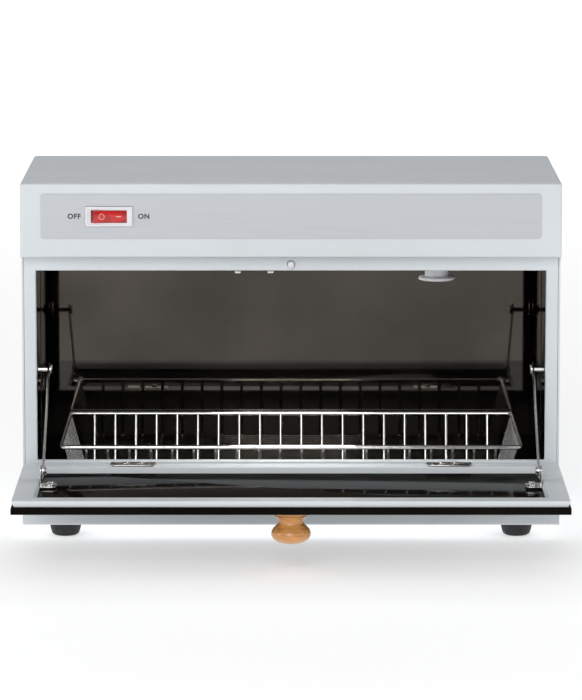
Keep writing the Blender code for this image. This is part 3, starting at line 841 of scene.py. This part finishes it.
# %% [markdown]
# ## Door: glass and frame
# The door is a pane of dark tinted glass with a white frame behind it, which shows when the door is down.
# The pane's edges are ground and catch a thin bright line. The frame is a band with soft inner and outer
# edges, notched at the back for the hinges.
# Both could be boxes with a bevel modifier. The frame needs a window too, so its two large faces are inset,
# opened, and bridged into one band.

# %% Tinted pane
glass_low, glass_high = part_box("door_glass")
pane = block("door_pane", glass_low, glass_high)
round_edges(pane, along(2), 0.8 * MM)
soften(pane, 0.5 * MM, steps=3)
dress(pane, tinted_glass, "door_glass")

# %% White frame
FRAME_BAND = 15.5 * MM
FRAME_DRAFT = 1.8 * MM  # the outer edge leans in towards the glass
frame_low, frame_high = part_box("door_frame")
band = block("door_band", frame_low, frame_high)
frame_size = frame_high - frame_low
work(
    band,
    "FACE",
    lambda c, n: n.z < -SHARP,
    bpy.ops.transform.resize,
    value=(1 - 2 * FRAME_DRAFT / frame_size.x, 1 - 2 * FRAME_DRAFT / frame_size.y, 1),
    center_override=(frame_low + frame_high) / 2,
)
inset(band, lambda c, n: abs(n.z) > SHARP, FRAME_BAND)


def window_face(c, n):
    return abs(n.z) > SHARP and abs(c.x) < 1 * MM and abs(c.y - (frame_low.y + frame_high.y) / 2) < 1 * MM


drop(band, window_face)


def window_rim(a, b):
    """True for an edge that lies a whole band's width in from the frame's outside."""
    inside = Vector((1, 1, 0)) * (FRAME_BAND - 0.1 * MM)
    low, high = frame_low + inside, frame_high - inside
    return all(low.x < p.x < high.x and low.y < p.y < high.y for p in (a, b))


work(band, "EDGE", window_rim, bpy.ops.mesh.bridge_edge_loops)
round_edges(band, lambda a, b: abs(a.z - b.z) > 1 * MM and not window_rim(a, b), 1.2 * MM)
pin_middle = middle("hinge_pin_right")
NOTCH_HALF = 19 * MM
NOTCH_DEPTH = 3.5 * MM
for side in (-1, 1):
    notch = block(
        "hinge_notch",
        (side * pin_middle.x - NOTCH_HALF, frame_high.y - NOTCH_DEPTH, pin_middle.z - 4 * MM),
        (side * pin_middle.x + NOTCH_HALF, frame_high.y + 5 * MM, pin_middle.z + 9 * MM),
    )
    cut_away(band, notch)
soften(band, 0.9 * MM, steps=3)
dress(band, powder_paint, "door_frame")

# %% [markdown]
# ## The knob
# The knob is turned from a pale hardwood: a collar with a cut groove, a narrow neck, and a flattened ball.
# A lathe gives smooth curves and crisp shoulders, so we turn a coarse outline and let Subdivision Surface
# draw the curves through it. The grain runs across the knob, because such knobs are cut from a plank.

# %% Turned knob
knob_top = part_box("door_knob")[1].z
knob_middle = middle("door_knob")
KNOB_OUTLINE = [  # radius, and distance below the glass
    (12.2, 0.0), (12.5, 0.5), (12.5, 2.4), (11.7, 2.9), (11.7, 3.3), (12.3, 3.8), (11.8, 4.9), (10.0, 6.2),
    (9.3, 8.6), (10.6, 11.0), (14.0, 13.6), (15.3, 17.0), (14.9, 19.6), (12.8, 22.4), (8.5, 24.4),
    (4.0, 25.0),
]
knob_place = (knob_middle.x, knob_middle.y, 0)
knob = turned("wood_knob", measured(knob_top, KNOB_OUTLINE, -1), knob_place, sides=32)
modify(knob, "SUBSURF", levels=2, render_levels=2)
dress(knob, lacquered_wood, "door_knob")

# %% [markdown]
# ## Screws
# Every screw that shows is a small pan head with a cross recess. We turn one head, cut the cross out of it
# with two thin blocks, and copy it wherever a screw goes. Each copy has its own mesh.

# %% One pan head, and where it goes


def pan_head(name, radius, height):
    """A domed head that sits on z = 0, with a cross cut into its top."""
    head = turned(
        name,
        [
            (radius * 0.96, 0),
            (radius, height * 0.25),
            (radius * 0.93, height * 0.6),
            (radius * 0.72, height * 0.9),
            (radius * 0.4, height),
        ],
        sides=28,
    )
    reach, half = radius * 0.62, radius * 0.11
    floor_level = height * 0.45
    cut_away(
        head,
        block("recess_a", (-reach, -half, floor_level), (reach, half, height * 2)),
        block("recess_b", (-half, -reach, floor_level), (half, reach, height * 2)),
    )
    return head


def seat_screws(nodes, radius, height):
    """A pan head in the place of each of these CAD screws, whose heads all look upwards."""
    pattern = pan_head("screw_pattern", radius, height)
    for node in nodes:
        centre, top = middle(node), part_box(node)[1].z
        screw = copied(pattern, f"{node}_head", (centre.x, centre.y, top - height))
        dress(screw, plated_steel, node)
    bpy.data.objects.remove(pattern)


for kind, height in (("hinge", 1.4 * MM), ("stay", 1.6 * MM)):
    seat_screws([f"{kind}_screw_{side}_{number}" for side in SIDES for number in (1, 2)], 2.6 * MM, height)
seat_screws(["knob_screw"], 3.6 * MM, 2.4 * MM)

# %% [markdown]
# ## Hinges
# Two small butt hinges carry the door. The leaf that shows is screwed on the frame, and its middle knuckle
# wraps the pin. A real leaf has clipped corners from the press, and the pin ends in rounded heads.
# The leaf is a block with two rounded corners, joined by a short tongue to a turned knuckle.

# %% Door leaves and pins
KNUCKLE = 2.1 * MM
KNUCKLE_HALF = 6 * MM
LEAF = 0.8 * MM
leaf_low, leaf_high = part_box("hinge_leaf_door_right")
leaf_x = (leaf_low.x + leaf_high.x) / 2
plate = block(
    "leaf_plate",
    (leaf_low.x, leaf_low.y, leaf_high.z - LEAF),
    (leaf_high.x, pin_middle.y - 2.6 * MM, leaf_high.z),
)
round_edges(plate, lambda a, b: along(2)(a, b) and a.y < leaf_low.y + 1 * MM, 3 * MM)
tongue = block(
    "leaf_tongue",
    (leaf_x - KNUCKLE_HALF, pin_middle.y - 4 * MM, leaf_high.z - LEAF),
    (leaf_x + KNUCKLE_HALF, pin_middle.y + 0.3 * MM, leaf_high.z),
)
knuckle = turned(
    "leaf_knuckle",
    [(KNUCKLE, -KNUCKLE_HALF), (KNUCKLE, KNUCKLE_HALF)],
    (leaf_x, pin_middle.y, pin_middle.z),
    "X",
    28,
)
leaf = together("hinge_leaf_right", plate, tongue, knuckle)
soften(leaf, 0.15 * MM)
dress_both(leaf, "hinge_leaf_door")

PIN_END = [(0.5, 0.0), (0.95, 0.4), (1.0, 0.8)]  # radius, and distance from the pin's end
for side in SIDES:
    low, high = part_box(f"hinge_pin_{side}")
    centre = middle(f"hinge_pin_{side}")
    outline = measured(low.x, PIN_END) + measured(high.x, PIN_END, -1)[::-1]
    hinge_pin = turned(f"hinge_rod_{side}", outline, (0, centre.y, centre.z), "X", 24)
    dress(hinge_pin, plated_steel, f"hinge_pin_{side}")

# %% [markdown]
# ## Lid stays
# Each stay is a flat slotted bar. One end turns on a rivet in the door's bracket, and the slot rides on a
# stud in the chamber's wall, so the door comes to rest level.
# The bar is stamped, with fully round ends. We round a block's end edges by half its width, cut the slot
# with a narrower block made the same way, and lay the bar along the line from rivet to stud.

# %% Stay arms
ARM_HALF = 5.2 * MM
SLOT_HALF = 2.4 * MM
ARM_PAST_STUD = 6 * MM
SLOT_START = 5.2 * MM
bracket_low, bracket_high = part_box("stay_bracket_right")
RIVET_BACK = 9.02 * MM  # from the bracket's front
RIVET_DOWN = 4 * MM  # from its top
rivet = Vector((0, bracket_low.y + RIVET_BACK, bracket_high.z - RIVET_DOWN))
stud = middle("stay_wall_pin_right")
reach = Vector((0, stud.y - rivet.y, stud.z - rivet.z))
arm_low, arm_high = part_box("stay_arm_right")


def flat_bar(name, start, end, half, thickness):
    """A bar along Y with round ends, about the line x = 0, z = 0."""
    bar = block(name, (-thickness / 2, start, -half), (thickness / 2, end, half))
    round_edges(bar, along(0), half * 0.999, 10)
    return bar


arm = flat_bar("stay_bar_right", -ARM_HALF, reach.length + ARM_PAST_STUD, ARM_HALF, arm_high.x - arm_low.x)
cut_away(arm, flat_bar("slot", SLOT_START, reach.length + SLOT_HALF, SLOT_HALF, 6 * MM))
soften(arm, 0.15 * MM, angle=60)
arm.rotation_euler.x = atan2(reach.z, reach.y)
arm.location = ((arm_low.x + arm_high.x) / 2, rivet.y, rivet.z)
only(arm)
arm = settle("stay_bar_right")
dress_both(arm, "stay_arm")
print(f"the stay spans {reach.length / MM:.1f} mm at rest")

# %% Door brackets with their rivets
EAR = 1.2 * MM
EAR_HALF = 5 * MM
FOOT = 1.5 * MM
RIVET_OUTLINE = [(2.2, 4.8), (3.0, 4.4), (3.2, 3.6), (1.6, 3.6), (1.6, 0.8)]  # radius, and distance inwards
foot = block("bracket_foot", bracket_low, (bracket_high.x, bracket_high.y, bracket_low.z + FOOT))
round_edges(foot, lambda a, b: along(2)(a, b) and a.x < bracket_low.x + 1 * MM, 2.5 * MM)
ear = block(
    "bracket_ear",
    (bracket_high.x - EAR, rivet.y - EAR_HALF, bracket_low.z + FOOT / 2),
    (bracket_high.x, rivet.y + EAR_HALF, bracket_high.z),
)
round_edges(ear, lambda a, b: along(0)(a, b) and a.z > bracket_high.z - 1 * MM, 3.8 * MM, 8)
stem = turned("bracket_rivet", measured(bracket_high.x, RIVET_OUTLINE, -1), (0, rivet.y, rivet.z), "X", 28)
bracket = together("stay_foot_right", foot, ear, stem)
soften(bracket, 0.15 * MM)
dress_both(bracket, "stay_bracket")

# %% Wall studs
STUD_OUTLINE = [  # radius, and distance from the wall
    (9.0, 0.0), (9.0, 1.0), (8.4, 1.5), (5.2, 1.7), (5.0, 6.0), (4.2, 6.6), (2.0, 6.8), (2.0, 16.2),
    (4.2, 16.2), (4.2, 17.0), (3.2, 17.7),
]
wall_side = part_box("stay_wall_pin_right")[1].x
wall_stud = turned("stay_stud_right", measured(wall_side, STUD_OUTLINE, -1), (0, stud.y, stud.z), "X", 32)
dress_both(wall_stud, "stay_wall_pin")

# %% [markdown]
# ## The basket
# The basket is bent from two thicknesses of plated wire and spot-welded: a stout rail round the top, bent
# cross wires from front to back, and finer wires that run from end to end and up the leaning ends.
# A Wireframe modifier on a grid could fake the mesh, but real basket wires cross over each other and end on
# the rail. So each kind of wire is drawn once as a bent line, rounded at its bends, thickened to a round
# section, and then repeated at its own pitch.

# %% Helper for bent wire


def bent_wire(name, points, thickness, bend=4 * MM, closed=False, facets=2):
    """A wire of round section through the points, with its bends rounded. It is laid out as a chain of
    vertices pulled from one corner of a plane, turned into a curve for its thickness, and made a mesh."""
    bpy.ops.object.select_all(action="DESELECT")
    bpy.ops.mesh.primitive_plane_add(size=1 * MM, location=(0, 0, 0))
    chain = settle(name)
    bpy.ops.object.mode_set(mode="EDIT")
    bpy.ops.mesh.select_mode(type="VERT")
    bpy.ops.mesh.select_all(action="SELECT")
    bpy.ops.mesh.merge(type="CENTER")
    bpy.ops.transform.translate(value=points[0])
    for here, there in zip(points, points[1:]):
        pull = Vector(there) - Vector(here)
        bpy.ops.mesh.extrude_region_move(TRANSFORM_OT_translate={"value": pull})
    mesh = bmesh.from_edit_mesh(chain.data)
    if closed:
        mesh.edges.new([vertex for vertex in mesh.verts if len(vertex.link_edges) == 1])
    for vertex in mesh.verts:
        vertex.select_set(len(vertex.link_edges) == 2)
    bmesh.update_edit_mesh(chain.data)
    bpy.ops.mesh.bevel(offset=bend, offset_type="OFFSET", segments=4, affect="VERTICES")
    bpy.ops.object.mode_set(mode="OBJECT")
    bpy.ops.object.convert(target="CURVE")
    wire = bpy.context.object
    wire.data.bevel_depth = thickness / 2
    wire.data.bevel_resolution = facets
    wire.data.use_fill_caps = True
    bpy.ops.object.convert(target="MESH")
    return welded(settle(name))


def repeated(wire, count, pitch):
    """Count copies of a wire along one axis, in the same object."""
    modify(
        wire,
        "ARRAY",
        count=count,
        use_relative_offset=False,
        use_constant_offset=True,
        constant_offset_displace=pitch,
    )
    return wire


print("helper for bent wire ready")

# %% Basket levels
RAIL = 3.6 * MM
CROSS = 2.8 * MM
LONG = 1.5 * MM
LEAN = 14 * MM  # of each side, from the rail down to the tray
CROSS_MARGIN, LONG_MARGIN = 6 * MM, 4 * MM  # from the tray's corners to the first wires
CROSS_COUNT, LONG_COUNT = 20, 12
basket_low, basket_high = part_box("basket")
rail_z = basket_high.z - RAIL / 2
rim_low = basket_low + Vector((RAIL / 2, RAIL / 2, 0))
rim_high = basket_high - Vector((RAIL / 2, RAIL / 2, 0))
cross_z = basket_low.z + CROSS / 2
long_z = cross_z + (CROSS + LONG) / 2
print(f"basket {(basket_high.x - basket_low.x) / MM:.0f} by {(basket_high.y - basket_low.y) / MM:.0f} mm")

# %% Rail, cross wires and long wires
rail = bent_wire(
    "basket_rail",
    [
        (rim_low.x, rim_low.y, rail_z),
        (rim_high.x, rim_low.y, rail_z),
        (rim_high.x, rim_high.y, rail_z),
        (rim_low.x, rim_high.y, rail_z),
    ],
    RAIL,
    bend=4 * MM,
    closed=True,
    facets=4,
)
inner_front, inner_back = rim_low.y + LEAN, rim_high.y - LEAN
inner_left, inner_right = rim_low.x + LEAN, rim_high.x - LEAN
in_rail = RAIL * 0.45  # how far past the rail's middle a wire ends
cross_pitch = (inner_right - inner_left - 2 * CROSS_MARGIN) / (CROSS_COUNT - 1)
cross_start = inner_left + CROSS_MARGIN
cross_wires = bent_wire(
    "basket_cross_wires",
    [
        (cross_start, rim_low.y + in_rail, rail_z),
        (cross_start, inner_front, cross_z),
        (cross_start, inner_back, cross_z),
        (cross_start, rim_high.y - in_rail, rail_z),
    ],
    CROSS,
)
repeated(cross_wires, CROSS_COUNT, (cross_pitch, 0, 0))
long_pitch = (inner_back - inner_front - 2 * LONG_MARGIN) / (LONG_COUNT - 1)
long_start = inner_front + LONG_MARGIN
long_wires = bent_wire(
    "basket_long_wires",
    [
        (rim_low.x + in_rail, long_start, rail_z),
        (inner_left, long_start, long_z),
        (inner_right, long_start, long_z),
        (rim_high.x - in_rail, long_start, rail_z),
    ],
    LONG,
)
repeated(long_wires, LONG_COUNT, (0, long_pitch, 0))
basket = together("wire_basket", rail, cross_wires, long_wires)
dress(basket, plated_wire, "basket", angle=60)

# %% [markdown]
# ## Feet and cord gland
# The feet are soft black cones, wide at the top and rounded where they meet the table. The gland is a
# moulded sleeve that clips in the rear panel and tapers towards the cord.
# Both are round, so they are turned, with more rings than the CAD gave them and a groove on the gland.

# %% Feet
FOOT_OUTLINE = [  # radius, and height above the table, up to the cabinet's underside
    (4.0, 1.2), (5.0, 1.2), (5.8, 0.0), (8.6, 0.0), (10.4, 1.12), (11.3, 3.36), (12.2, 6.944),
]
for foot_name in ("front_left", "front_right", "rear_left", "rear_right"):
    low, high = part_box(f"foot_{foot_name}")
    centre = middle(f"foot_{foot_name}")
    outline = measured(low.z, FOOT_OUTLINE) + [(12.8 * MM, high.z)]
    place = (centre.x, centre.y, 0)
    rubber = turned(f"rubber_foot_{foot_name}", outline, place, sides=44, soft=0.4 * MM)
    dress(rubber, moulded_rubber, f"foot_{foot_name}")

# %% Gland
gland_low, gland_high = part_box("cord_gland")
panel_back = panel_high.y
COLLAR = [  # radius, and distance behind the panel
    (6.1, 0.3), (8.6, 0.3), (8.7, 2.2), (7.0, 2.8), (6.6, 3.8), (6.9, 4.4), (6.4, 5.6),
]
MOUTH = [(6.0, 0.0), (3.4, 0.0), (3.2, 5.0)]  # radius, and distance in from the gland's end
outline = [(6.1 * MM, gland_low.y)] + measured(panel_back, COLLAR) + measured(gland_high.y, MOUTH, -1)
sleeve = turned("gland_sleeve", outline, (gland.x, 0, gland.z), "Y", 36, soft=0.25 * MM)
dress(sleeve, moulded_rubber, "cord_gland")

# %% [markdown]
# ## Lamp and starter
# The tube is quartz, so that the ultraviolet gets out, with a spun aluminium cap and two pins at each end.
# Its starter is a white can that hangs from the chamber's ceiling, just behind the header, with a rim round
# its lower end. Tube, cap and can are all round, so each is turned.

# %% Tube and caps
tube_low, tube_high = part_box("uv_lamp")
tube_middle = middle("uv_lamp")
TUBE = (tube_high.z - tube_low.z) / 2


def lamp_part(name, low, high, shoulder, soft=0.0):
    """A length of the lamp from low to high, drawn in a little at both ends."""
    outline = [(TUBE * 0.9, low), (TUBE, low + shoulder), (TUBE, high - shoulder), (TUBE * 0.9, high)]
    return turned(name, outline, (0, tube_middle.y, tube_middle.z), "X", 36, soft=soft)


dress(lamp_part("lamp_tube", tube_low.x, tube_high.x, 1.5 * MM), quartz_glass, "uv_lamp")
for side in SIDES:
    low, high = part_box(f"lamp_cap_{side}")
    cap = lamp_part(f"tube_cap_{side}", low.x, high.x, 1.2 * MM, soft=0.3 * MM)
    dress(cap, spun_aluminium, f"lamp_cap_{side}")

# %% Starter
can_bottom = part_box("starter")[0].z
can_middle = middle("starter")
CAN_OUTLINE = [  # radius, and height above the can's lower end
    (9.4, 1.0), (10.6, 0.8), (11.2, 0.1), (12.0, 0.0), (13.6, 0.0), (14.3, 0.6), (14.3, 2.0), (13.6, 2.6),
    (9.4, 3.2), (9.4, 18.6), (8.6, 19.7),
]
can = turned("starter_can", measured(can_bottom, CAN_OUTLINE), (can_middle.x, can_middle.y, 0), sides=44)
dress(can, white_plastic, "starter")

# %% [markdown]
# ## What stays as the CAD made it
# Flat liner sheets, the ballast, the terminal block and the leads already have the shape of the real ones,
# and most of them are out of sight. They keep their meshes and only get a finish, because a mesh
# that is right need not be made twice.

# %% Finishes for the kept nodes
KEPT = {
    mirror_steel_with_painted_shade: ["liner_back", "liner_left", "liner_right", "liner_floor", "liner_ceiling"],
    plated_steel: ["hinge_leaf_cabinet_left", "hinge_leaf_cabinet_right", "interlock_bracket"],
    white_plastic: ["lamp_holder_left", "lamp_holder_right", "starter_holder", "terminal_block"],
    black_plastic: ["interlock_switch"],
    core_steel: ["ballast"],
    lead_insulation: ["wire_switch", "wire_mains", "wire_lamp"],
}
for material, names in KEPT.items():
    for name in names:
        node = frame["nodes"][name]
        node.data.materials.clear()
        node.data.materials.append(material)
    print(f"{material.name}: {', '.join(names)}")

# %% [markdown]
# ## Last look
# The visual model has to fit in the CAD model's box, because other tools trust that box.

# %% Finish
print("finished")
